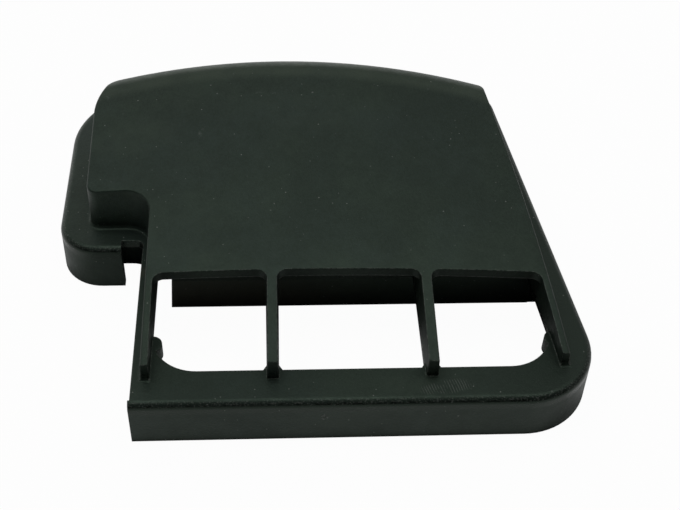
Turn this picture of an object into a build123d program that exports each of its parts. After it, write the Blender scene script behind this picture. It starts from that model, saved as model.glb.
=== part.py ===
from build123d import *
from math import cos, radians, sin, sqrt, tan
import os

# Air filter cover: one piece of black moulded plastic, in millimetres and degrees.
# While it is built, x = 0 is the outer face of the hood's left wall, y = 0 is the front edge
# and z = 0 is the plane that the skirt stands on. Outlines are drawn at z = 0, and the draft
# draws them in from there upward. At the end the middle of the footprint becomes the origin.

# Walls
DRAFT = 1.0
SKIRT_WALL = 2.4
FLANGE_WALL = 2.9
HOOD_WALL = 2.6
DECK_WALL = 3.0

# Base: a flat flange with a skirt round it
FLANGE_HEIGHT = 16.1
FLANGE_WIDTH = 9.6
RIM_ROUND = 2.2
BASE_LEFT = -29.2
BASE_FRONT_RIGHT = 133.3
SIDE_SLANT = 7.75
BASE_BACK = 140.4
BASE_BACK_RADIUS = 600.0
FRONT_RIGHT_CORNER = 21.0
BASE_BACK_RIGHT_CORNER = 9.5
BASE_BACK_LEFT_CORNER = 28.0
EAR_CORNER = 13.0

# Hood: the raised hollow part that stands on the flange
LOBE_FRONT = 69.3
LOBE_INNER_CORNER = 1.2
NECK_RADIUS = 7.6
HOOD_FRONT_LEFT = 9.2
HOOD_FRONT_RIGHT = 12.4
SIDE_BOW = 1.1
SIDE_BOW_RADIUS = 900.0
SIDE_BOW_Y = 56.0
HOOD_FOOT_ROUND = 1.2
HOOD_EDGE_ROUND = 0.6

# Deck: the top of the hood, which rises to the back and is crowned across its width
DECK_CREST_X = 47.3
DECK_FRONT_HEIGHT = 23.5
DECK_SLOPE = 9.34
DECK_CROWN_RADIUS = 911.0

# Back of the hood: an arc in plan, with a broad round along its top
BACK_CREST_X = 41.4
BACK_FLANGE = 13.6
BACK_RADIUS = 240.0
BACK_ROUND = 8.0
BACK_INNER_BEVEL = 2.8
BACK_CLEAR = 0.05
BACK_LEFT_CORNER = 22.0
BACK_RIGHT_CORNER = 11.0

# Intake: three windows between upright ribs, over an opening with rounded front corners
WINDOW_BACK = 39.6
WINDOW_FRONT = 12.2
WINDOW_BACK_CORNER = 3.0
WINDOW_FRONT_CORNER = 13.0
RIB_MIDDLES = (37.15, 82.25)
RIB_TOP = 2.9
RIB_DRAFT = 1.8
GUSSET_WIDTH = 1.3
GUSSET_LENGTH = 2.2

# Baffle: the wall across the inside behind the windows, with a gap that widens upward at its left end
BAFFLE_FRONT = 50.3
BAFFLE_WALL = 2.2
BAFFLE_GAP = 3.2
BAFFLE_LEAN = 3.6

# Left side: the flange is cut back straight, and the ear's skirt stops short of it
CUT_EDGE = 2.5
SKIRT_END_STEP = 0.5
NOTCH_LEFT = 9.2
NOTCH_LAND = 5.5
NOTCH_CORNER = 2.2

# Pegs: two locating posts on the side walls of the intake
PEG_RADIUS = 2.85
PEG_REACH_LEFT = 2.9
PEG_REACH_RIGHT = 1.7
PEG_MIDDLE = 22.3
PEG_DROP = 2.2

# Worked out from the sizes above
FAR = 200.0
SIDE_TURN = radians(SIDE_SLANT)
DECK_TURN = radians(DECK_SLOPE)
BASE_RIGHT = BASE_FRONT_RIGHT * cos(SIDE_TURN)
HOOD_RIGHT = BASE_RIGHT - FLANGE_WIDTH
HOOD_LEFT = BASE_LEFT + FLANGE_WIDTH
INTAKE_RIGHT = HOOD_RIGHT - HOOD_WALL
LOBE_CORNER = HOOD_WALL + LOBE_INNER_CORNER
EAR_FRONT = LOBE_FRONT - FLANGE_WIDTH
BACK_Y = BASE_BACK - BACK_FLANGE
NECK_START = LOBE_FRONT - NECK_RADIUS
PORT_BACK = NECK_START + sqrt(NECK_RADIUS**2 - (NECK_RADIUS - CUT_EDGE) ** 2)
NOTCH_BACK = LOBE_FRONT - NOTCH_LAND
FLANGE_UNDER = FLANGE_HEIGHT - FLANGE_WALL
BAFFLE_BACK = BAFFLE_FRONT + BAFFLE_WALL
DECK_CREST = Plane(
    origin=(DECK_CREST_X, HOOD_FRONT_LEFT, DECK_FRONT_HEIGHT),
    x_dir=(1, 0, 0),
    z_dir=(0, cos(DECK_TURN), sin(DECK_TURN)),
)


def on_right(reach, y):
    """Point at a given y on a line along the slanted right side, a distance from x = y = 0."""
    return ((reach - y * sin(SIDE_TURN)) / cos(SIDE_TURN), y)


def outline(*points):
    """Closed plan with straight edges."""
    return make_face(Polyline(*points, close=True))


def block(x_min, x_max, y_min, y_max, z_min, z_max):
    """Box between two planes in each direction."""
    middle = Pos((x_min + x_max) / 2, (y_min + y_max) / 2, (z_min + z_max) / 2)
    return middle * Box(x_max - x_min, y_max - y_min, z_max - z_min)


def behind(y):
    """Everything behind a plane across the cover."""
    return block(-FAR, FAR, y, 2 * FAR, -FAR, FAR)


def rounded(plan, point, radius):
    """Round the corner of a plan that lies nearest to a point."""
    return fillet(plan.vertices().sort_by_distance((*point, 0))[0], radius)


def footprint():
    """Outline of the base, before its left side is cut back."""
    stub = -(CUT_EDGE + NOTCH_LEFT) / 2
    plan = outline(
        (stub, 0),
        (BASE_FRONT_RIGHT, 0),
        on_right(BASE_RIGHT, FAR),
        (BASE_LEFT, FAR),
        (BASE_LEFT, EAR_FRONT),
        (stub, EAR_FRONT),
    )
    plan &= Pos(BACK_CREST_X, BASE_BACK - BASE_BACK_RADIUS) * Circle(BASE_BACK_RADIUS)
    plan = rounded(plan, (BASE_FRONT_RIGHT, 0), FRONT_RIGHT_CORNER)
    plan = rounded(plan, on_right(BASE_RIGHT, BASE_BACK), BASE_BACK_RIGHT_CORNER)
    plan = rounded(plan, (BASE_LEFT, BASE_BACK), BASE_BACK_LEFT_CORNER)
    plan = rounded(plan, (BASE_LEFT, EAR_FRONT), EAR_CORNER)
    return rounded(plan, (stub, EAR_FRONT), NOTCH_CORNER)


def back_trimmed(plan, inset):
    """Trim a plan with the arc along the back of the hood, drawn in by a distance."""
    return plan & Pos(BACK_CREST_X, BACK_Y - BACK_RADIUS) * Circle(BACK_RADIUS - inset)


def side_trimmed(plan, inset):
    """Trim a plan with the bowed right side of the hood, drawn in by a distance."""
    bow_x, bow_y = on_right(HOOD_RIGHT + SIDE_BOW, SIDE_BOW_Y)
    middle = Pos(bow_x - SIDE_BOW_RADIUS * cos(SIDE_TURN), bow_y - SIDE_BOW_RADIUS * sin(SIDE_TURN))
    return plan & middle * Circle(SIDE_BOW_RADIUS - inset)


def hood_plan(inset):
    """Outline of the hood, with its sides and back drawn in by a distance."""
    left = HOOD_LEFT + inset
    front = LOBE_FRONT + inset
    plan = outline(
        (inset, HOOD_FRONT_LEFT),
        on_right(BASE_RIGHT, HOOD_FRONT_RIGHT),
        on_right(BASE_RIGHT, FAR),
        (left, FAR),
        (left, front),
        (inset, front),
    )
    plan = side_trimmed(back_trimmed(plan, inset), inset)
    plan = rounded(plan, on_right(HOOD_RIGHT, BACK_Y), BACK_RIGHT_CORNER - inset)
    plan = rounded(plan, (left, BACK_Y), BACK_LEFT_CORNER - inset)
    plan = rounded(plan, (left, front), LOBE_CORNER - inset)
    return rounded(plan, (inset, front), NECK_RADIUS + inset)


def back_plan(inset):
    """A wider outline with the same back, whose sides lie outside the hood."""
    left = HOOD_LEFT - BACK_ROUND
    right = HOOD_RIGHT + BACK_ROUND
    plan = outline((left, 0), on_right(right, 0), on_right(right, FAR), (left, FAR))
    return back_trimmed(plan, inset)


def under_deck(drop):
    """Everything under the crowned, sloping deck, lowered by a distance."""
    crown = Cylinder(DECK_CROWN_RADIUS - drop, 4 * FAR)
    return DECK_CREST * Pos(0, DECK_CROWN_RADIUS) * crown


def hood_sides(inset, drop):
    """The hood as a full block with sharp edges, drawn in by a wall and with its deck lowered."""
    return extrude(hood_plan(inset), FAR / 2, taper=DRAFT) & under_deck(drop)


def hood_back(inset, drop):
    """A wider block whose back and deck lie just outside those of the hood."""
    plan = back_plan(inset - BACK_CLEAR)
    return extrude(plan, FAR / 2, taper=DRAFT) & under_deck(drop - BACK_CLEAR)


def top_edges(shape):
    """The edges round the deck of a block."""
    return shape.faces().sort_by(Axis.Z)[-1].edges()


def hood():
    """The outside of the hood as a full block.

    The sides of the deck have a crisp edge and its back a broad round that runs out at the
    corners, so the two are made on separate blocks and the hood is what they share.
    """
    sides = hood_sides(0, 0)
    back = hood_back(0, 0)
    sides = fillet(top_edges(sides).sort_by(Axis.Y)[1:], HOOD_EDGE_ROUND)
    back = fillet(top_edges(back).sort_by(Axis.Y)[-1], BACK_ROUND)
    return sides & back


def full_block(hood_block):
    """Base and hood as one full block, with the rounds of its outside."""
    base = extrude(footprint(), FLANGE_HEIGHT, taper=DRAFT)
    base = fillet(base.faces().sort_by(Axis.Z)[-1].edges(), RIM_ROUND)
    whole = base + hood_block
    flange = whole.faces().filter_by(Plane.XY).sort_by_distance((HOOD_RIGHT, LOBE_FRONT, FLANGE_HEIGHT))[0]
    return fillet(flange.inner_wires()[0].edges(), HOOD_FOOT_ROUND)


def under_flange(hood_block):
    """Room under the flange, inside the skirt and round the wall of the filter chamber."""
    room = extrude(offset(footprint(), -SKIRT_WALL), FLANGE_UNDER, taper=DRAFT)
    room -= hood_block & behind(BAFFLE_FRONT)
    return room + block(-HOOD_WALL, HOOD_WALL + BAFFLE_GAP / 2, BAFFLE_FRONT, PORT_BACK, 0, FLANGE_UNDER)


def filter_chamber():
    """Hollow of the hood behind the baffle, open below."""
    back = hood_back(HOOD_WALL, DECK_WALL)
    back = chamfer(top_edges(back).sort_by(Axis.Y)[-1], BACK_INNER_BEVEL)
    return hood_sides(HOOD_WALL, DECK_WALL) & back & behind(BAFFLE_BACK)


def intake():
    """Way in through the flange and under the deck as far as the baffle, and past its left end."""
    plan = outline(
        (HOOD_WALL, WINDOW_FRONT),
        on_right(BASE_RIGHT, WINDOW_FRONT),
        on_right(BASE_RIGHT, BAFFLE_FRONT),
        (HOOD_WALL, BAFFLE_FRONT),
    )
    plan = side_trimmed(plan, HOOD_WALL)
    plan = rounded(plan, (HOOD_WALL, WINDOW_FRONT), WINDOW_FRONT_CORNER)
    plan = rounded(plan, on_right(INTAKE_RIGHT, WINDOW_FRONT), WINDOW_FRONT_CORNER)
    gap = outline(
        (HOOD_WALL, BAFFLE_FRONT, 0),
        (HOOD_WALL + BAFFLE_GAP, BAFFLE_FRONT, 0),
        (HOOD_WALL + BAFFLE_GAP + FAR / 2 * tan(radians(BAFFLE_LEAN)), BAFFLE_FRONT, FAR / 2),
        (HOOD_WALL, BAFFLE_FRONT, FAR / 2),
    )
    gap = extrude(gap, BAFFLE_WALL, dir=(0, 1, 0))
    return (extrude(plan, FAR / 2) + gap) & under_deck(DECK_WALL)


def windows():
    """The three windows in the deck, open to the front above the flange."""
    plan = outline(
        (HOOD_WALL, -FLANGE_WIDTH),
        on_right(BASE_RIGHT, -FLANGE_WIDTH),
        on_right(BASE_RIGHT, WINDOW_BACK),
        (HOOD_WALL, WINDOW_BACK),
    )
    plan = side_trimmed(plan, HOOD_WALL)
    for middle in RIB_MIDDLES:
        plan -= Pos(middle, 0) * Rectangle(RIB_TOP, FAR)
    plan = fillet(plan.vertices().group_by(Axis.Y)[-1], WINDOW_BACK_CORNER)
    return Pos(0, 0, FLANGE_HEIGHT) * extrude(plan, FAR / 2)


def rib(middle):
    """Upright rib from the front of the hood to the baffle, thicker toward its foot."""
    depth = DECK_FRONT_HEIGHT
    spread = depth * tan(radians(RIB_DRAFT))
    section = outline(
        (-RIB_TOP / 2, 0),
        (RIB_TOP / 2, 0),
        (RIB_TOP / 2 + spread, depth),
        (-RIB_TOP / 2 - spread, depth),
    )
    fin = extrude(DECK_CREST * Pos(middle - DECK_CREST_X, 0) * section, FAR / 2, both=True)
    room = block(-FAR, FAR, HOOD_FRONT_LEFT, BAFFLE_BACK, FLANGE_UNDER, FAR)
    return fin & room & under_deck(0)


def gusset(middle):
    """Small web at flange level that widens the foot of a rib where it meets the flange."""
    wide = RIB_TOP / 2 + GUSSET_WIDTH
    plan = outline(
        (-wide, WINDOW_FRONT - FLANGE_WALL),
        (wide, WINDOW_FRONT - FLANGE_WALL),
        (wide, WINDOW_FRONT),
        (RIB_TOP / 2, WINDOW_FRONT + GUSSET_LENGTH),
        (-RIB_TOP / 2, WINDOW_FRONT + GUSSET_LENGTH),
        (-wide, WINDOW_FRONT),
    )
    return extrude(Pos(middle, 0, FLANGE_UNDER) * plan, FLANGE_WALL)


def peg(x):
    """Locating post that stands out from a side wall of the intake and hangs below the flange."""
    length = FLANGE_WALL + PEG_DROP
    return Pos(x, PEG_MIDDLE, FLANGE_HEIGHT - length / 2) * Cylinder(PEG_RADIUS, length)


def left_cut():
    """What is taken off the left of the base, from the notch beside the ear to the front."""
    flange_cut = outline(
        (-NOTCH_LEFT, SKIRT_WALL),
        (-CUT_EDGE, SKIRT_WALL),
        (-CUT_EDGE, NOTCH_BACK),
        (-NOTCH_LEFT, NOTCH_BACK),
    )
    flange_cut = rounded(flange_cut, (-CUT_EDGE, NOTCH_BACK), NOTCH_CORNER)
    skirt_end = -CUT_EDGE - SKIRT_END_STEP
    skirt_cut = block(-NOTCH_LEFT, skirt_end, -FLANGE_WIDTH, SKIRT_WALL, 0, FLANGE_HEIGHT)
    return extrude(flange_cut, FLANGE_HEIGHT) + skirt_cut


hood_block = hood()
cover = full_block(hood_block)
cover -= under_flange(hood_block)
cover -= filter_chamber()
cover -= intake()
cover -= windows()
cover -= left_cut()
for rib_middle in RIB_MIDDLES:
    cover += rib(rib_middle)
    cover += gusset(rib_middle)
peg_left = HOOD_WALL + PEG_REACH_LEFT - PEG_RADIUS
peg_right = on_right(INTAKE_RIGHT - PEG_REACH_RIGHT + PEG_RADIUS, PEG_MIDDLE)[0]
cover += peg(peg_left)
cover += peg(peg_right)

middle = cover.bounding_box().center()
cover = Pos(-middle.X, -middle.Y) * cover
os.makedirs("parts", exist_ok=True)
export_step(cover, "parts/air_filter_cover.step")
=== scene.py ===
import logging
from dataclasses import dataclass
from enum import Enum, IntEnum
from math import cos, radians, sin

import bpy
import numpy as np
from mathutils import Matrix, Vector


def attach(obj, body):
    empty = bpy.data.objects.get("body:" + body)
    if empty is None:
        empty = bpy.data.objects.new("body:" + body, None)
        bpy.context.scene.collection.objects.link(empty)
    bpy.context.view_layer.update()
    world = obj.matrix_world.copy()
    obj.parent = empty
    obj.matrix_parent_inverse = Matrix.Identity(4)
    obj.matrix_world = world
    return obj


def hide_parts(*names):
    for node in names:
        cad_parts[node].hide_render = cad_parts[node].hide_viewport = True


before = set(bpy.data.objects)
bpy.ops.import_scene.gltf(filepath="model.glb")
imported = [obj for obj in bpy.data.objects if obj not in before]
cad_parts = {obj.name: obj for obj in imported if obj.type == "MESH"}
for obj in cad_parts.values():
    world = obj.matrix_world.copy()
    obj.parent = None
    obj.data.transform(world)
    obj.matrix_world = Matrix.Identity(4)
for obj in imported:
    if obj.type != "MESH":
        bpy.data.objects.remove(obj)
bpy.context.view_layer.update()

log = logging.getLogger("air_filter_cover")

Pair = tuple[float, float]
Triple = tuple[float, float, float]
Names = tuple[str, ...]
Socket = bpy.types.NodeSocket
Tree = bpy.types.NodeTree


class Slot(Enum):
    """Material slots of the record."""

    BLACK_PLASTIC = "black_plastic"


class Blend(Enum):
    """Ways to join two numbers in a Math node."""

    ADD = "ADD"
    SUBTRACT = "SUBTRACT"
    MULTIPLY = "MULTIPLY"
    MAXIMUM = "MAXIMUM"
    DIVIDE = "DIVIDE"
    LESS = "LESS_THAN"
    SINE = "SINE"
    ABSOLUTE = "ABSOLUTE"


class MixSocket(IntEnum):
    """Places of a Mix node's sockets for colours."""

    AMOUNT = 0
    FIRST = 6
    SECOND = 7
    RESULT = 2


class SocketKind(Enum):
    """Kinds of socket on a node group."""

    VALUE = "NodeSocketFloat"
    VECTOR = "NodeSocketVector"


@dataclass(frozen=True)
class Cloud:
    """A cloudy noise: features per metre, octaves, and the strength of the finer octaves."""

    scale: float
    detail: float = 2.0
    roughness: float = 0.5


@dataclass(frozen=True)
class Span:
    """A range of numbers, and what its two ends are carried onto."""

    low: float
    high: float
    out_low: float = 0.0
    out_high: float = 1.0


@dataclass(frozen=True)
class Mark:
    """One mark on the plastic: middle and half sizes in metres, turn about Z in degrees."""

    centre: Triple
    turn: float
    size: Triple
    strength: float


class Graph:
    """Short ways to place and join shader nodes in one node tree."""

    def __init__(self, tree: Tree) -> None:
        """Work in a node tree.

        Args:
            tree: The tree of a material, a world or a node group.
        """
        self.tree = tree

    def node(self, kind: str, **settings: object) -> bpy.types.Node:
        """Place a node.

        Args:
            kind: Name of the node's class.
            settings: Attributes to set on it.

        Returns:
            The new node.
        """
        made = self.tree.nodes.new(kind)
        for name, value in settings.items():
            setattr(made, name, value)
        return made

    def feed(self, socket: Socket, value: object) -> None:
        """Link an output into a socket, or set the socket to a constant.

        Args:
            socket: The input to fill.
            value: An output socket, or a number, colour or vector.
        """
        if isinstance(value, Socket):
            self.tree.links.new(value, socket)
        else:
            socket.default_value = value

    def join(self, how: Blend, first: object, second: object = 0.0) -> Socket:
        """Join two numbers.

        Args:
            how: The operation.
            first: Left side, a socket or a number.
            second: Right side, a socket or a number.

        Returns:
            The result's socket.
        """
        made = self.node("ShaderNodeMath", operation=how.value)
        self.feed(made.inputs[0], first)
        self.feed(made.inputs[1], second)
        return made.outputs[0]

    def times(self, first: object, *others: object) -> Socket:
        """Product of numbers."""
        for other in others:
            first = self.join(Blend.MULTIPLY, first, other)
        return first

    def plus(self, first: object, second: object) -> Socket:
        """Sum of two numbers."""
        return self.join(Blend.ADD, first, second)

    def minus(self, first: object, second: object) -> Socket:
        """Difference of two numbers."""
        return self.join(Blend.SUBTRACT, first, second)

    def larger(self, first: object, second: object) -> Socket:
        """The larger of two numbers."""
        return self.join(Blend.MAXIMUM, first, second)

    def ramp(self, value: object, span: Span) -> Socket:
        """Carry a range of numbers smoothly onto another range.

        Args:
            value: The number to carry over.
            span: The two ranges.

        Returns:
            The result's socket.
        """
        made = self.node("ShaderNodeMapRange", interpolation_type="SMOOTHSTEP")
        self.feed(made.inputs["Value"], value)
        made.inputs["From Min"].default_value = span.low
        made.inputs["From Max"].default_value = span.high
        made.inputs["To Min"].default_value = span.out_low
        made.inputs["To Max"].default_value = span.out_high
        return made.outputs["Result"]

    def noise(self, vector: object, cloud: Cloud) -> Socket:
        """Cloudy noise.

        Args:
            vector: Where to read it.
            cloud: Its settings.

        Returns:
            The noise's value, from 0 to 1.
        """
        made = self.node("ShaderNodeTexNoise")
        self.feed(made.inputs["Vector"], vector)
        made.inputs["Scale"].default_value = cloud.scale
        made.inputs["Detail"].default_value = cloud.detail
        made.inputs["Roughness"].default_value = cloud.roughness
        return made.outputs["Fac"]

    def patches(self, vector: object, cloud: Cloud, span: Span) -> Socket:
        """Cloudy noise carried onto a range."""
        return self.ramp(self.noise(vector, cloud), span)

    def tint(self, amount: object, first: object, second: object) -> Socket:
        """Mix two colours.

        Args:
            amount: 0 for the first colour, 1 for the second.
            first: A colour or its socket.
            second: A colour or its socket.

        Returns:
            The mixed colour's socket.
        """
        made = self.node("ShaderNodeMix", data_type="RGBA")
        self.feed(made.inputs[MixSocket.AMOUNT], amount)
        self.feed(made.inputs[MixSocket.FIRST], self._opaque(first))
        self.feed(made.inputs[MixSocket.SECOND], self._opaque(second))
        return made.outputs[MixSocket.RESULT]

    @staticmethod
    def _opaque(colour: object) -> object:
        """A colour with its alpha, or a socket as it is."""
        return colour if isinstance(colour, Socket) else (*colour, 1.0)

    def moved(self, vector: object, mark: Mark) -> Socket:
        """Read a vector in the frame of a mark: its middle at zero, turned about Z and scaled to one.

        Args:
            vector: The object's coordinates.
            mark: The mark.

        Returns:
            The vector in the mark's own frame.
        """
        made = self.node("ShaderNodeMapping", vector_type="TEXTURE")
        self.feed(made.inputs["Vector"], vector)
        made.inputs["Location"].default_value = mark.centre
        made.inputs["Rotation"].default_value = (0.0, 0.0, radians(mark.turn))
        made.inputs["Scale"].default_value = mark.size
        return made.outputs[0]

    def part(self, vector: object, axis: str) -> Socket:
        """One coordinate of a vector."""
        made = self.node("ShaderNodeSeparateXYZ")
        self.feed(made.inputs[0], vector)
        return made.outputs[axis]

    def length(self, vector: object) -> Socket:
        """Length of a vector."""
        made = self.node("ShaderNodeVectorMath", operation="LENGTH")
        self.feed(made.inputs[0], vector)
        return made.outputs["Value"]

    def likeness(self, first: object, second: object) -> Socket:
        """Cosine of the angle between two unit vectors."""
        made = self.node("ShaderNodeVectorMath", operation="DOT_PRODUCT")
        self.feed(made.inputs[0], first)
        self.feed(made.inputs[1], second)
        return made.outputs["Value"]

    def group(self, tree: Tree, **values: object) -> bpy.types.bpy_prop_collection:
        """Place a node group.

        Args:
            tree: The group.
            values: What goes into its inputs.

        Returns:
            The outputs of the group's node.
        """
        made = self.node("ShaderNodeGroup", node_tree=tree)
        for name, value in values.items():
            self.feed(made.inputs[name], value)
        return made.outputs


class EffectGroup:
    """A shader node group under construction, with named inputs and outputs."""

    def __init__(self, name: str, vectors: Names, values: Names, outputs: Names) -> None:
        """Start a group.

        Args:
            name: The group's name.
            vectors: Names of the inputs that take a vector.
            values: Names of the inputs that take a number.
            outputs: Names of the outputs, all numbers.
        """
        self.tree = bpy.data.node_groups.new(name, "ShaderNodeTree")
        self._sockets(vectors, "INPUT", SocketKind.VECTOR)
        self._sockets(values, "INPUT", SocketKind.VALUE)
        self._sockets(outputs, "OUTPUT", SocketKind.VALUE)
        self.graph = Graph(self.tree)
        self.given = self.graph.node("NodeGroupInput").outputs
        self.result = self.graph.node("NodeGroupOutput").inputs

    def _sockets(self, labels: Names, side: str, kind: SocketKind) -> None:
        """Add sockets of one kind to one side of the group."""
        for label in labels:
            self.tree.interface.new_socket(label, in_out=side, socket_type=kind.value)

    def give(self, label: str, value: Socket) -> None:
        """Send a number out of the group."""
        self.graph.feed(self.result[label], value)


@dataclass(frozen=True)
class MouldGrain:
    """Mould grain: fine pits for the bump, speckle for the tone, broad clouds for the gloss and the hue."""

    pits: tuple[Cloud, Cloud] = (Cloud(2400.0, 2.0, 0.6), Cloud(900.0))
    clouds: tuple[Cloud, Cloud] = (Cloud(45.0, 3.0), Cloud(260.0, 3.0, 0.6))
    shares: Pair = (0.6, 0.4)
    speckle: Cloud = Cloud(1300.0, 3.0, 0.7)
    speckle_span: Span = Span(0.3, 0.7)
    cast: Cloud = Cloud(30.0, 3.0, 0.55)
    cast_span: Span = Span(0.38, 0.62)

    def build(self) -> Tree:
        """Make the group.

        Returns:
            Group with Vector in, and Pits, Speckle, Clouds and Cast (for the hue) out.
        """
        made = EffectGroup("mould_grain", ("Vector",), (), ("Pits", "Speckle", "Clouds", "Cast"))
        draw, where = made.graph, made.given["Vector"]
        made.give("Pits", self._layered(draw, where, self.pits))
        made.give("Speckle", draw.patches(where, self.speckle, self.speckle_span))
        made.give("Clouds", self._layered(draw, where, self.clouds))
        made.give("Cast", draw.patches(where, self.cast, self.cast_span))
        return made.tree

    def _layered(self, draw: Graph, where: Socket, layers: tuple[Cloud, Cloud]) -> Socket:
        """Two noises, each by its share."""
        pairs = zip(layers, self.shares)
        first, second = (draw.times(draw.noise(where, cloud), share) for cloud, share in pairs)
        return draw.plus(first, second)


@dataclass(frozen=True)
class DustSpecks:
    """Dust: a round speck in some cells of a random grid, its size changing from cell to cell."""

    sizes: Span = Span(0.0, 1.0, 0.4, 1.0)
    strengths: Span = Span(0.0, 1.0, 0.25, 1.0)

    def build(self) -> Tree:
        """Make the group.

        Returns:
            Group with Vector, Cells (cells per metre), Share and Radius in, and Specks out.
        """
        made = EffectGroup("dust_specks", ("Vector",), ("Cells", "Share", "Radius"), ("Specks",))
        draw = made.graph
        cells = draw.node("ShaderNodeTexVoronoi")
        draw.feed(cells.inputs["Vector"], made.given["Vector"])
        draw.feed(cells.inputs["Scale"], made.given["Cells"])
        pick = draw.node("ShaderNodeSeparateColor")
        draw.feed(pick.inputs[0], cells.outputs["Color"])
        chosen = draw.join(Blend.LESS, pick.outputs[0], made.given["Share"])
        reach = draw.times(made.given["Radius"], draw.ramp(pick.outputs[1], self.sizes))
        inside = draw.join(Blend.LESS, cells.outputs["Distance"], reach)
        made.give("Specks", draw.times(chosen, inside, draw.ramp(pick.outputs[2], self.strengths)))
        return made.tree


@dataclass(frozen=True)
class RubbedSpot:
    """A rubbed spot: full in the middle of a mark's frame and gone at its edge."""

    fade: Span = Span(1.0, 0.35)
    streaks: Cloud = Cloud(620.0, 4.0, 0.65)
    streaks_span: Span = Span(0.52, 0.68)
    haze: Cloud = Cloud(140.0, 4.0, 0.6)
    haze_span: Span = Span(0.34, 0.6)

    def build(self) -> Tree:
        """Make the group.

        Returns:
            Group with Vector (object coordinates) and Place (in the mark's frame) in, and Mark (streaks),
            Haze (soft patches) and Body (unbroken) out.
        """
        made = EffectGroup("rubbed_spot", ("Vector", "Place"), (), ("Mark", "Haze", "Body"))
        draw, where = made.graph, made.given["Vector"]
        body = draw.ramp(draw.length(made.given["Place"]), self.fade)
        made.give("Body", body)
        made.give("Mark", draw.times(body, draw.patches(where, self.streaks, self.streaks_span)))
        made.give("Haze", draw.times(body, draw.patches(where, self.haze, self.haze_span)))
        return made.tree


@dataclass(frozen=True)
class RoundSpot:
    """A round spot: a raised, broken ring and the dip inside it."""

    wobble: Cloud = Cloud(900.0)
    wobble_size: float = 0.5
    ring_inside: Span = Span(0.5, 0.8)
    ring_outside: Span = Span(1.35, 1.05)
    breaks: Cloud = Cloud(1100.0, 3.0, 0.6)
    breaks_span: Span = Span(0.4, 0.62)
    core: Span = Span(0.95, 0.6)

    def build(self) -> Tree:
        """Make the group.

        Returns:
            Group with Vector (object coordinates) and Place (in the mark's frame) in, and Ring and Core out.
        """
        made = EffectGroup("round_spot", ("Vector", "Place"), (), ("Ring", "Core"))
        draw, where = made.graph, made.given["Vector"]
        wobble = draw.times(draw.noise(where, self.wobble), self.wobble_size)
        reach = draw.plus(draw.length(made.given["Place"]), wobble)
        ring = draw.times(draw.ramp(reach, self.ring_inside), draw.ramp(reach, self.ring_outside))
        made.give("Ring", draw.times(ring, draw.patches(where, self.breaks, self.breaks_span)))
        made.give("Core", draw.ramp(reach, self.core))
        return made.tree


@dataclass(frozen=True)
class ToolStrokes:
    """A band of short strokes side by side, uneven in depth and gone at the band's edge."""

    slant: float = 0.035
    sway: Cloud = Cloud(240.0)
    sway_size: float = 5.0
    ridge: Span = Span(0.1, 0.8)
    uneven: Cloud = Cloud(420.0, 3.0, 0.6)
    uneven_span: Span = Span(0.36, 0.6)
    fade: Span = Span(1.0, 0.6)

    def build(self) -> Tree:
        """Make the group.

        Returns:
            Group with Vector (object coordinates), Place (in the mark's frame) and Count in, and Strokes out.
        """
        made = EffectGroup("tool_strokes", ("Vector", "Place"), ("Count",), ("Strokes",))
        draw, where, place = made.graph, made.given["Vector"], made.given["Place"]
        across = draw.plus(draw.part(place, "X"), draw.times(draw.part(place, "Y"), self.slant))
        sway = draw.times(draw.noise(where, self.sway), self.sway_size)
        phase = draw.plus(draw.times(across, made.given["Count"]), sway)
        ridges = draw.ramp(draw.join(Blend.SINE, phase), self.ridge)
        uneven = draw.patches(where, self.uneven, self.uneven_span)
        made.give("Strokes", draw.times(ridges, uneven, draw.ramp(draw.length(place), self.fade)))
        return made.tree


@dataclass(frozen=True)
class ArcHighlight:
    """A painted highlight band along the inside of an arc, patchy, soft on both sides and gone below a
    height.
    """

    inner_side: Span = Span(0.940, 0.956)
    outer_side: Span = Span(0.995, 0.976)
    patches: Cloud = Cloud(120.0, 4.0, 0.6)
    patches_span: Span = Span(0.25, 0.7, 0.6, 1.0)
    rise: Span = Span(0.0, 0.005)

    def build(self) -> Tree:
        """Make the group.

        Returns:
            Group with Vector (object coordinates), Place (the arc's circle has radius one) and Floor (the
            height) in, and Band out.
        """
        made = EffectGroup("arc_highlight", ("Vector", "Place"), ("Floor",), ("Band",))
        draw, where = made.graph, made.given["Vector"]
        reach = draw.length(made.given["Place"])
        above = draw.minus(draw.part(where, "Z"), made.given["Floor"])
        sides = draw.times(draw.ramp(reach, self.inner_side), draw.ramp(reach, self.outer_side))
        patches = draw.patches(where, self.patches, self.patches_span)
        made.give("Band", draw.times(sides, draw.ramp(above, self.rise), patches))
        return made.tree


@dataclass(frozen=True)
class EdgeHighlight:
    """Painted highlight along edges: where the softened normal leaves the plain one, broken up by fine noise.
    """

    bend: Span = Span(0.996, 0.95)
    breaks: Cloud = Cloud(1000.0, 3.0, 0.7)
    breaks_span: Span = Span(0.42, 0.62, 0.08, 1.0)

    def build(self) -> Tree:
        """Make the group.

        Returns:
            Group with Vector (object coordinates), Soft and Facing (the two normals) in, and Gleam (the
            painted highlight) out.
        """
        made = EffectGroup("edge_highlight", ("Vector", "Soft", "Facing"), (), ("Gleam",))
        draw = made.graph
        bend = draw.ramp(draw.likeness(made.given["Soft"], made.given["Facing"]), self.bend)
        breaks = draw.patches(made.given["Vector"], self.breaks, self.breaks_span)
        made.give("Gleam", draw.times(bend, breaks))
        return made.tree


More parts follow.
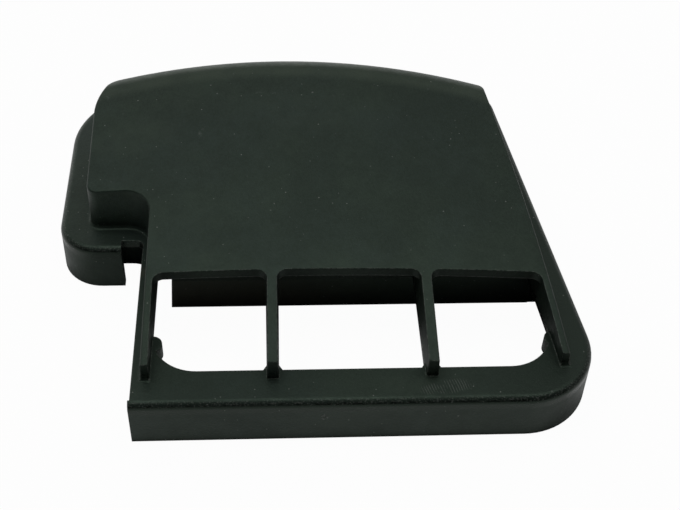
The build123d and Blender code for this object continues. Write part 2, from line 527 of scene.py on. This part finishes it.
@dataclass(frozen=True)
class RimPaintedLight:
    """Painted light on a rounded rim: a painted dark reflection low on the round and painted highlight specks
    along its top.
    """

    ragged: Cloud = Cloud(900.0, 3.0, 0.65)
    ragged_middle: float = 0.5
    ragged_size: float = 0.0018
    outward: Span = Span(0.95, 0.85)
    line_foot: Span = Span(-0.0044, -0.0036)
    line_head: Span = Span(-0.0007, -0.0011)
    crest_top: Span = Span(-0.00002, -0.0002)
    crest_foot: Span = Span(-0.0013, -0.0008)
    glints: Cloud = Cloud(1900.0, 2.0, 0.6)
    glints_span: Span = Span(0.5, 0.66)

    def build(self) -> Tree:
        """Make the group.

        Returns:
            Group with Vector, Facing (the object's normal) and Top (the rim's height) in, DarkReflection
            (painted dark reflection) and Glints (painted highlight specks) out.
        """
        made = EffectGroup("rim_painted_light", ("Vector", "Facing"), ("Top",), ("DarkReflection", "Glints"))
        draw, where = made.graph, made.given["Vector"]
        below = draw.minus(draw.part(where, "Z"), made.given["Top"])
        ragged = draw.minus(draw.noise(where, self.ragged), self.ragged_middle)
        depth = draw.plus(below, draw.times(ragged, self.ragged_size))
        outward = draw.ramp(draw.part(made.given["Facing"], "Z"), self.outward)
        # Painted dark reflection: the lower part of the round faces the dark front and is painted dark.
        line = draw.times(draw.ramp(depth, self.line_foot), draw.ramp(depth, self.line_head))
        made.give("DarkReflection", draw.times(outward, line))
        # Painted highlight: bright specks along the top of the round.
        crest = draw.times(draw.ramp(below, self.crest_top), draw.ramp(depth, self.crest_foot))
        made.give("Glints", draw.times(crest, draw.patches(where, self.glints, self.glints_span)))
        return made.tree


class Effects:
    """The surface effects of moulded plastic and its painted light and shade, each made once as a node group.
    """

    def __init__(self) -> None:
        """Build every group."""
        self.grain = MouldGrain().build()
        self.dust = DustSpecks().build()
        self.rub = RubbedSpot().build()
        self.spot = RoundSpot().build()
        self.strokes = ToolStrokes().build()
        self.rim = RimPaintedLight().build()
        self.arc = ArcHighlight().build()
        self.edge = EdgeHighlight().build()


@dataclass(frozen=True)
class DustLayer:
    """One layer of dust: cells per metre, share of cells with a speck, its radius in cells, its strength."""

    cells: float
    share: float
    radius: float
    strength: float


@dataclass(frozen=True)
class MouldedPlastic:
    """Finish of satin black plastic with a green cast: colours, gloss, dust and marks, and painted light and
    shade; lengths in metres.
    """

    green: Triple = (0.0184, 0.0274, 0.0202)
    blue: Triple = (0.0160, 0.0236, 0.0220)
    # Dark end of the random tone, also the colour of the painted shade low down.
    deep: Triple = (0.0054, 0.0080, 0.0065)
    bloom: Triple = (0.0262, 0.0362, 0.0275)
    # Colour of the painted shade in the gate and the painted dark reflection on the rim.
    painted_shade: Triple = (0.0022, 0.0028, 0.0024)
    dust_and_glint: Triple = (0.34, 0.35, 0.33)
    rubbed: Triple = (0.075, 0.083, 0.076)
    # Colour of the painted light low on the baffle's left.
    baffle_light: Triple = (0.036, 0.031, 0.024)
    # Colour of the painted highlight along the back round.
    back_highlight: Triple = (0.050, 0.062, 0.046)
    # Colour of the painted highlight along edges.
    edge_light: Triple = (0.17, 0.18, 0.165)
    cast: Triple = (0.72, 1.0, 0.78)
    specular: float = 0.36
    gloss: Span = Span(0.3, 0.7, 0.51, 0.41)
    polish: float = 0.16
    tone: Span = Span(0.36, 0.64)
    tone_shares: Pair = (0.5, 0.5)
    rim_top: float = 0.0161
    # Painted shade from the flange down: fades in over low_edge above rim_top, stronger on the right by
    # low_shade.
    low_edge: float = 0.0012
    low_shade: Span = Span(0.042, 0.058, 0.3, 0.95)
    dust: tuple[DustLayer, DustLayer] = (
        DustLayer(420.0, 0.8, 0.09, 0.45),
        DustLayer(160.0, 0.32, 0.048, 0.6),
    )
    # Strength of the painted highlight specks along the rim.
    glints: float = 0.16
    rubs: tuple[Mark, ...] = (
        Mark((-0.0158, 0.0363, 0.039), 2.0, (0.006, 0.0012, 0.004), 0.8),
        Mark((0.0095, 0.0353, 0.0388), 0.0, (0.004, 0.001, 0.004), 0.7),
        Mark((-0.0352, 0.0208, 0.0355), 60.0, (0.004, 0.0011, 0.004), 0.8),
        Mark((-0.0674, 0.0026, 0.0316), 70.0, (0.0025, 0.0006, 0.003), 0.8),
        Mark((-0.0664, 0.0385, 0.0372), 40.0, (0.0045, 0.003, 0.004), 1.0),
        Mark((0.010, 0.0525, 0.0405), 0.0, (0.045, 0.0035, 0.004), 0.75),
        Mark((0.045, 0.050, 0.0385), -8.0, (0.016, 0.003, 0.004), 0.9),
    )
    rubbed_through: float = 0.75
    hazes: tuple[Mark, ...] = (
        Mark((0.0290, -0.0625, 0.0161), 8.0, (0.0160, 0.0075, 0.004), 0.45),
        Mark((-0.0580, 0.0190, 0.0352), 10.0, (0.0190, 0.0100, 0.006), 0.4),
        Mark((0.0000, 0.0300, 0.0375), 0.0, (0.0300, 0.0140, 0.008), 0.25),
    )
    # Painted light: lighter low on the baffle's left, where light comes in at its open end.
    baffle_lit_patch: tuple[Mark, ...] = (
        Mark((-0.0560, -0.0199, 0.0040), 0.0, (0.0900, 0.0035, 0.0240), 0.8),
    )
    # The gate's ring is raised by the bump and gets a painted highlight; its middle gets painted shade.
    gate: Mark = Mark((0.0009, -0.0700, 0.0097), 0.0, (0.0010, 0.003, 0.0012), 0.3)
    gate_shade: float = 0.8
    gate_rise: float = 1.2
    chatter: Mark = Mark((0.0355, -0.0650, 0.0161), 9.0, (0.0090, 0.0029, 0.004), 1.2)
    chatter_count: float = 74.0
    chatter_rise: float = 0.7
    back_arc: Mark = Mark((-0.0091, -0.1834, 0.0), 0.0, (0.24, 0.24, 1000.0), 0.55)
    highlight_above: float = 0.022
    edge_highlight: float = 0.55
    edge_round: float = 0.0006
    edge_samples: int = 8
    bump_strength: float = 0.6
    bump_depth: float = 0.0002


class PlasticBuilder:
    """Builds the plastic's material from its finish and the shared effects."""

    def __init__(self, finish: MouldedPlastic, effects: Effects) -> None:
        """Start the material and place the effects that several of its inputs read.

        Args:
            finish: Colours, gloss, dust and marks.
            effects: The shared node groups.
        """
        self.finish = finish
        self.effects = effects
        self.material = bpy.data.materials.new("black_moulded_plastic")
        self.material.use_nodes = True
        self.draw = Graph(self.material.node_tree)
        spots = self.draw.node("ShaderNodeTexCoord").outputs
        self.where = spots["Object"]
        self.grain = self.draw.group(effects.grain, Vector=self.where)
        self.rim = self.draw.group(effects.rim, Vector=self.where, Facing=spots["Normal"],
                                   Top=finish.rim_top)
        self.gate = self._placed(effects.spot, finish.gate)
        self.strokes = self._placed(effects.strokes, finish.chatter, Count=finish.chatter_count)["Strokes"]
        soft_edge = self.draw.node("ShaderNodeBevel", samples=finish.edge_samples)
        soft_edge.inputs["Radius"].default_value = finish.edge_round
        self.soft_edge = soft_edge.outputs[0]

    def build(self) -> bpy.types.Material:
        """Fill the shader's inputs.

        Returns:
            The finished material.
        """
        shader = self.material.node_tree.nodes["Principled BSDF"].inputs
        colour = self._wear_and_painted_light(self._haze_and_painted_light(self._tone_and_painted_shade()))
        # The dust colour also paints the highlight specks on the rim and on the gate's ring.
        self.draw.feed(shader["Base Color"], self.draw.tint(self._dust_and_glints(), colour, self.finish.dust_and_glint))
        self.draw.feed(shader["Roughness"], self._roughness())
        self.draw.feed(shader["Normal"], self._normal())
        shader["Specular IOR Level"].default_value = self.finish.specular
        shader["Specular Tint"].default_value = (*self.finish.cast, 1.0)
        return self.material

    def _tone_and_painted_shade(self) -> Socket:
        """Mix the plastic: green and blue clouds, speckled, with painted shade from the flange down, stronger
        on the right.

        Returns:
            Its colour.
        """
        draw, finish = self.draw, self.finish
        clouds = draw.times(draw.ramp(self.grain["Clouds"], finish.tone), finish.tone_shares[0])
        speckle = draw.times(self.grain["Speckle"], finish.tone_shares[1])
        hue = draw.tint(self.grain["Cast"], finish.blue, finish.green)
        colour = draw.tint(draw.plus(clouds, speckle), finish.deep, hue)
        # Painted shade from the flange down, stronger on the right.
        low_span = Span(finish.rim_top + finish.low_edge, finish.rim_top)
        lower = draw.ramp(draw.part(self.where, "Z"), low_span)
        shade = draw.ramp(draw.part(self.where, "X"), finish.low_shade)
        return draw.tint(draw.times(lower, shade), colour, finish.deep)

    def _haze_and_painted_light(self, colour: Socket) -> Socket:
        """Lay the soft layers on a colour: hazes, painted light low on the baffle's left and a painted
        highlight along the back round.

        Args:
            colour: Colour of the clean plastic.

        Returns:
            The colour with these layers.
        """
        draw, finish = self.draw, self.finish
        colour = draw.tint(self._marked(finish.hazes, "Haze"), colour, finish.bloom)
        # Painted light low on the baffle's left.
        colour = draw.tint(self._marked(finish.baffle_lit_patch, "Body"), colour, finish.baffle_light)
        # Painted highlight along the back round.
        band = self._placed(self.effects.arc, finish.back_arc, Floor=finish.highlight_above)["Band"]
        return draw.tint(draw.times(band, finish.back_arc.strength), colour, finish.back_highlight)

    def _wear_and_painted_light(self, colour: Socket) -> Socket:
        """Lay the sharp marks and painted light on a colour: rubs and strokes, painted shade in the gate, a
        painted dark reflection on the rim and painted highlights along the edges.

        Args:
            colour: Colour below the marks.

        Returns:
            The colour with the marks and the painted light.
        """
        draw, finish = self.draw, self.finish
        strokes = draw.times(self.strokes, finish.chatter.strength)
        worn = draw.larger(self._marked(finish.rubs, "Mark"), strokes)
        colour = draw.tint(draw.times(worn, finish.rubbed_through), colour, finish.rubbed)
        # Painted shade in the middle of the gate and the painted dark reflection on the rim.
        painted_shade_mask = draw.larger(draw.times(self.gate["Core"], finish.gate_shade), self.rim["DarkReflection"])
        colour = draw.tint(painted_shade_mask, colour, finish.painted_shade)
        facing = draw.node("ShaderNodeNewGeometry").outputs["Normal"]
        edges = draw.group(self.effects.edge, Vector=self.where, Soft=self.soft_edge, Facing=facing)["Gleam"]
        # Painted highlight along the edges.
        return draw.tint(draw.times(edges, finish.edge_highlight), colour, finish.edge_light)

    def _dust_and_glints(self) -> Socket:
        """Lay the dust and painted highlights: both layers of specks, painted highlight specks along the rim
        and a painted highlight on the gate's ring.

        Returns:
            Mask of the dust and the painted highlights.
        """
        draw = self.draw
        fine, big = (self._specks(layer) for layer in self.finish.dust)
        # Painted highlight specks along the rim.
        glints = draw.times(self.rim["Glints"], self.finish.glints)
        # Painted highlight on the gate's raised ring.
        ring = draw.times(self.gate["Ring"], self.finish.gate.strength)
        return draw.larger(draw.larger(draw.larger(fine, big), glints), ring)

    def _specks(self, layer: DustLayer) -> Socket:
        """Mask of one layer of dust."""
        made = self.draw.group(self.effects.dust, Vector=self.where, Cells=layer.cells, Share=layer.share,
                               Radius=layer.radius)
        return self.draw.times(made["Specks"], layer.strength)

    def _roughness(self) -> Socket:
        """Roughness: uneven with the clouds and polished along the rim."""
        gloss = self.draw.ramp(self.grain["Clouds"], self.finish.gloss)
        return self.draw.minus(gloss, self.draw.times(self.rim["DarkReflection"], self.finish.polish))

    def _normal(self) -> Socket:
        """Lay the grain, the gate's ring and the strokes over softened edges.

        Returns:
            The surface's normal.
        """
        draw, finish = self.draw, self.finish
        height = draw.plus(self.grain["Pits"], draw.times(self.gate["Ring"], finish.gate_rise))
        height = draw.plus(height, draw.times(self.strokes, finish.chatter_rise))
        bump = draw.node("ShaderNodeBump")
        bump.inputs["Strength"].default_value = finish.bump_strength
        bump.inputs["Distance"].default_value = finish.bump_depth
        draw.feed(bump.inputs["Height"], height)
        draw.feed(bump.inputs["Normal"], self.soft_edge)
        return bump.outputs[0]

    def _marked(self, marks: tuple[Mark, ...], kind: str) -> Socket:
        """Lay rubbed spots over each other.

        Args:
            marks: The spots.
            kind: Output of the rubbed spot to use.

        Returns:
            Mask of all the spots.
        """
        total: object = 0.0
        for mark in marks:
            spot = self.draw.times(self._placed(self.effects.rub, mark)[kind], mark.strength)
            total = self.draw.larger(total, spot)
        return total

    def _placed(self, tree: Tree, mark: Mark, **values: object) -> bpy.types.bpy_prop_collection:
        """Place an effect in the frame of a mark.

        Args:
            tree: The effect's group.
            mark: The mark.
            values: What goes into the group's other inputs.

        Returns:
            The outputs of the group's node.
        """
        place = self.draw.moved(self.where, mark)
        return self.draw.group(tree, Vector=self.where, Place=place, **values)


@dataclass(frozen=True)
class CoverShell:
    """The moulded cover: the part's own solid as one smooth skin."""

    node: str = "air_filter_cover"
    body: str = "root"
    weld: float = 1e-6
    crease: float = 28.0

    def build(self, material: bpy.types.Material) -> bpy.types.Object:
        """Join the solid's loose triangles into one skin with crisp edges and smooth rounds.

        Corners that share a place are made one vertex, so that normals run on across the rounds.

        Args:
            material: Finish of the plastic.

        Returns:
            The skin.
        """
        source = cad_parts[self.node].data
        points = np.empty(len(source.vertices) * 3)
        source.vertices.foreach_get("co", points)
        corners = np.empty(len(source.loops), dtype=np.int64)
        source.loops.foreach_get("vertex_index", corners)
        places = np.round(points.reshape(-1, 3) / self.weld).astype(np.int64)
        _, first, joined = np.unique(places, axis=0, return_index=True, return_inverse=True)
        faces = joined.reshape(-1)[corners].reshape(-1, 3)
        whole = (faces[:, 0] != faces[:, 1]) & (faces[:, 1] != faces[:, 2]) & (faces[:, 2] != faces[:, 0])
        mesh = bpy.data.meshes.new("cover_skin")
        mesh.from_pydata(points.reshape(-1, 3)[first].tolist(), [], faces[whole].tolist())
        mesh.polygons.foreach_set("use_smooth", np.ones(len(mesh.polygons), dtype=bool))
        mesh.set_sharp_from_angle(angle=radians(self.crease))
        mesh.materials.append(material)
        mesh.update()
        skin = bpy.data.objects.new("cover_skin", mesh)
        bpy.context.scene.collection.objects.link(skin)
        flat = skin.modifiers.new("even_normals", "WEIGHTED_NORMAL")
        flat.mode = "FACE_AREA"
        flat.keep_sharp = True
        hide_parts(self.node)
        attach(skin, self.body)
        log.info("cover skin: %d points, %d triangles from %d", len(first), int(whole.sum()), len(faces))
        return skin


@dataclass(frozen=True)
class BaffleEnd:
    """Right end of the baffle, from the wall of the hood across to the skirt; in metres."""

    left: float = 0.0655
    right: float = 0.0745
    front: float = -0.01988
    back: float = -0.01772
    top: float = 0.0136
    squareness: float = 0.12
    around: int = 64
    along: int = 4
    body: str = "root"

    def build(self, material: bpy.types.Material) -> bpy.types.Object:
        """Sweep a nearly square section from the hood to the skirt and close both ends.

        Args:
            material: Finish of the plastic.

        Returns:
            The piece.
        """
        angles = np.linspace(0.0, 2.0 * np.pi, self.around, endpoint=False)
        stations = np.linspace(self.left, self.right, self.along)
        middle = (self.front + self.back) / 2.0
        across = middle + (self.back - self.front) / 2.0 * self._squared(np.cos(angles))
        upward = self.top / 2.0 * (1.0 + self._squared(np.sin(angles)))
        loops = [np.column_stack((np.full(self.around, x), across, upward)) for x in stations]
        hubs = [(self.left, middle, self.top / 2.0), (self.right, middle, self.top / 2.0)]
        faces = self._faces()
        mesh = bpy.data.meshes.new("baffle_end")
        mesh.from_pydata(np.vstack((*loops, hubs)).tolist(), [], faces)
        mesh.materials.append(material)
        mesh.update()
        made = bpy.data.objects.new("baffle_end", mesh)
        bpy.context.scene.collection.objects.link(made)
        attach(made, self.body)
        log.info("baffle end: %d faces", len(faces))
        return made

    def _squared(self, wave: np.ndarray) -> np.ndarray:
        """Push a sine or cosine out towards a square wave."""
        return np.sign(wave) * np.abs(wave) ** self.squareness

    def _faces(self) -> list[tuple[int, ...]]:
        """Join the loops of the sweep, and each end loop to the hub in its middle.

        Returns:
            The faces, as numbers of points.
        """
        last = (self.along - 1) * self.around
        hub = self.along * self.around
        faces: list[tuple[int, ...]] = []
        for here in range(self.around):
            after = (here + 1) % self.around
            for start in range(0, last, self.around):
                ahead = start + self.around
                faces.append((start + here, start + after, ahead + after, ahead + here))
            faces.append((hub, after, here))
            faces.append((hub + 1, last + here, last + after))
        return faces


@dataclass(frozen=True)
class FloorFinish:
    """The floor: its size in metres, its paint, and how bright the camera and reflections find it."""

    half: float = 6.0
    drop: float = 0.0002
    paint: Triple = (0.86, 0.86, 0.86)
    roughness: float = 0.9
    specular: float = 0.1
    seen: float = 0.97
    covered: Pair = (0.0797, 0.0702)
    clear: Span = Span(1.0, 1.02)
    mirrored: Span = Span(0.0, 0.0702, 0.38, 0.9)


@dataclass(frozen=True)
class AirFinish:
    """Light of the surroundings by direction: front to back, low at the back, and dimmer on the right."""

    depth: Span = Span(-0.3, 0.8, 0.05, 0.43)
    behind: Span = Span(0.3, 0.7)
    horizon: Span = Span(0.6, 0.4, 0.0, 0.75)
    right: Span = Span(0.04, 0.24, 1.0, 0.6)
    colour: Triple = (1.0, 1.0, 1.0)


@dataclass(frozen=True)
class Lamp:
    """A soft box: where it hangs, what it points at, its size and its power."""

    name: str
    place: Triple
    aim: Triple
    size: Pair
    watts: float


@dataclass(frozen=True)
class Studio:
    """White floor and soft light round the cover."""

    ground: FloorFinish = FloorFinish()
    air: AirFinish = AirFinish()
    lamps: tuple[Lamp, ...] = (
        Lamp("overhead", (0.0, 0.05, 1.0), (0.0, 0.0, 0.0), (1.3, 0.4), 4.6),
    )

    def build(self) -> None:
        """Make the floor, the world and the lamps."""
        self._floor()
        self._world()
        for lamp in self.lamps:
            self._hang(lamp)
        log.info("studio: floor, world and %d lamps", len(self.lamps))

    def _floor(self) -> None:
        """Lay a flat square that is white to the camera and pale to the light."""
        half, low = self.ground.half, -self.ground.drop
        mesh = bpy.data.meshes.new("floor")
        corners = [(-half, -half, low), (half, -half, low), (half, half, low), (-half, half, low)]
        mesh.from_pydata(corners, [], [(0, 1, 2, 3)])
        floor = bpy.data.objects.new("floor", mesh)
        bpy.context.scene.collection.objects.link(floor)
        mesh.materials.append(self._floor_material())

    def _floor_material(self) -> bpy.types.Material:
        """Make the floor's material: paint to the light, plain white to the camera and in reflections.

        Returns:
            The material.
        """
        made = bpy.data.materials.new("white_floor")
        made.use_nodes = True
        draw, nodes = Graph(made.node_tree), made.node_tree.nodes
        paint = nodes["Principled BSDF"]
        paint.inputs["Base Color"].default_value = (*self.ground.paint, 1.0)
        paint.inputs["Roughness"].default_value = self.ground.roughness
        paint.inputs["Specular IOR Level"].default_value = self.ground.specular
        white = draw.node("ShaderNodeEmission")
        white.inputs["Strength"].default_value = 1.0
        rays = draw.node("ShaderNodeLightPath").outputs
        seen = draw.times(rays["Is Camera Ray"], self.ground.seen)
        mirrored = draw.times(rays["Is Glossy Ray"], self._mirrored(draw))
        mix = draw.node("ShaderNodeMixShader")
        draw.feed(mix.inputs[0], draw.larger(seen, mirrored))
        draw.feed(mix.inputs[1], paint.outputs[0])
        draw.feed(mix.inputs[2], white.outputs[0])
        draw.feed(nodes["Material Output"].inputs["Surface"], mix.outputs[0])
        return made

    def _mirrored(self, draw: Graph) -> Socket:
        """How bright reflections find the floor: nothing below the cover, more behind it than before it.

        Args:
            draw: The graph of the floor's material.

        Returns:
            The brightness, from 0 to 1.
        """
        place = draw.node("ShaderNodeTexCoord").outputs["Object"]
        wide, deep = self.ground.covered
        across = draw.join(Blend.DIVIDE, draw.join(Blend.ABSOLUTE, draw.part(place, "X")), wide)
        along = draw.join(Blend.DIVIDE, draw.join(Blend.ABSOLUTE, draw.part(place, "Y")), deep)
        clear = draw.ramp(draw.larger(across, along), self.ground.clear)
        return draw.times(clear, draw.ramp(draw.part(place, "Y"), self.ground.mirrored))

    def _world(self) -> None:
        """Make soft light that grows from the front to the back, seen as white by the camera."""
        world = bpy.data.worlds.new("studio_air")
        bpy.context.scene.world = world
        world.use_nodes = True
        draw = Graph(world.node_tree)
        inputs = world.node_tree.nodes["Background"].inputs
        inputs["Color"].default_value = (*self.air.colour, 1.0)
        seat = draw.node("ShaderNodeTexCoord").outputs["Generated"]
        back = draw.part(seat, "Y")
        low = draw.ramp(draw.part(seat, "Z"), self.air.horizon)
        low = draw.times(draw.ramp(back, self.air.behind), low)
        glow = draw.plus(draw.ramp(back, self.air.depth), low)
        glow = draw.times(glow, draw.ramp(draw.part(seat, "X"), self.air.right))
        rays = draw.node("ShaderNodeLightPath").outputs
        draw.feed(inputs["Strength"], draw.larger(rays["Is Camera Ray"], glow))

    @staticmethod
    def _hang(lamp: Lamp) -> None:
        """Hang one soft box.

        Args:
            lamp: The soft box to hang.
        """
        data = bpy.data.lights.new(lamp.name, "AREA")
        data.shape = "RECTANGLE"
        data.size, data.size_y = lamp.size
        data.energy = lamp.watts
        made = bpy.data.objects.new(lamp.name, data)
        made.location = lamp.place
        made.rotation_euler = (Vector(lamp.aim) - Vector(lamp.place)).to_track_quat("-Z", "Y").to_euler()
        bpy.context.scene.collection.objects.link(made)


@dataclass(frozen=True)
class PhotoCamera:
    """The camera at the photograph's viewpoint; distances in metres, turns in degrees."""

    place: Triple = (-0.012898, -0.271897, 0.288005)
    yaw: float = -4.55
    pitch: float = 46.369
    roll: float = 2.647
    focal_pixels: float = 1216.991
    frame_pixels: float = 680.0
    sensor_mm: float = 36.0
    nearest: float = 0.01

    def build(self) -> None:
        """Set up the camera: yaw about Z, then pitch down, then roll about the line of sight."""
        yaw, pitch, roll = radians(self.yaw), radians(self.pitch), radians(self.roll)
        right = Vector((cos(yaw), sin(yaw), 0.0))
        ahead = Vector((-sin(yaw), cos(yaw), 0.0))
        sky = Vector((0.0, 0.0, 1.0))
        forward = cos(pitch) * ahead - sin(pitch) * sky
        up = sin(pitch) * ahead + cos(pitch) * sky
        across = cos(roll) * right + sin(roll) * up
        above = cos(roll) * up - sin(roll) * right
        data = bpy.data.cameras.new("photo_camera")
        data.sensor_width = self.sensor_mm
        data.lens = self.focal_pixels / self.frame_pixels * self.sensor_mm
        data.clip_start = self.nearest
        camera = bpy.data.objects.new("photo_camera", data)
        turn = Matrix((across, above, -forward)).transposed().to_4x4()
        camera.matrix_world = Matrix.Translation(Vector(self.place)) @ turn
        bpy.context.scene.collection.objects.link(camera)
        bpy.context.scene.camera = camera
        log.info("camera: lens %.2f mm", data.lens)


def main() -> None:
    """Build the cover, its finish, the studio and the camera."""
    logging.basicConfig(level=logging.INFO, format="%(name)s: %(message)s")
    bpy.context.scene.view_settings.view_transform = "Standard"
    plastic = PlasticBuilder(MouldedPlastic(), Effects()).build()
    pieces = (CoverShell().build(plastic), BaffleEnd().build(plastic))
    log.info("pieces: %s", ", ".join(piece.name for piece in pieces))
    Studio().build()
    PhotoCamera().build()


if __name__ == "__main__":
    main()
